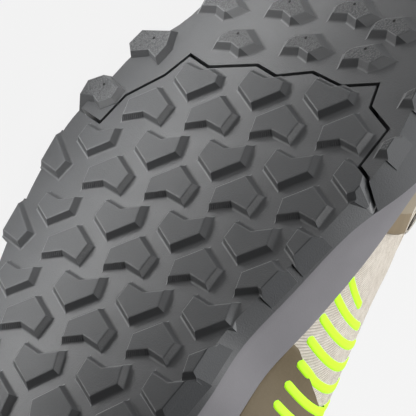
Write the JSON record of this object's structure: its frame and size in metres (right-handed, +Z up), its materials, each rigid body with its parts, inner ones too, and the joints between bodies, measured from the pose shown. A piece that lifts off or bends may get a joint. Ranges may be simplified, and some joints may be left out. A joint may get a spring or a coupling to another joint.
{
  "type": "mountain bike shoe",
  "caption": "Low trail shoe for riding and walking: hollow laced textile upper with brown panels, foam midsole and lugged grey rubber outsole, lying on its side.",
  "frame": {"origin": "middle of the bounding box on the floor, the shoe lying on its inner side", "axes": "+X from heel to toe, -Y out of the sole and +Y out of the collar, +Z up, towards the outer side of the shoe"},
  "size_m": [0.2942, 0.1308, 0.1105],
  "materials": {
    "rubber": "matte moulded rubber",
    "foam": "matte moulded foam",
    "textile": "fine ribbed weave",
    "overlay": "smooth satin film",
    "lining": "brushed lining",
    "cord": "flat braid"
  },
  "bodies": {
    "root": {"upper": "textile", "midsole": "foam", "insole": "lining", "outsole_forefoot": "rubber", "outsole_rear": "rubber", "toe_guard": "overlay", "rear_guard": "overlay", "eyestay": "overlay", "tongue": "textile", "lace": "cord"}
  },
  "joints": []
}
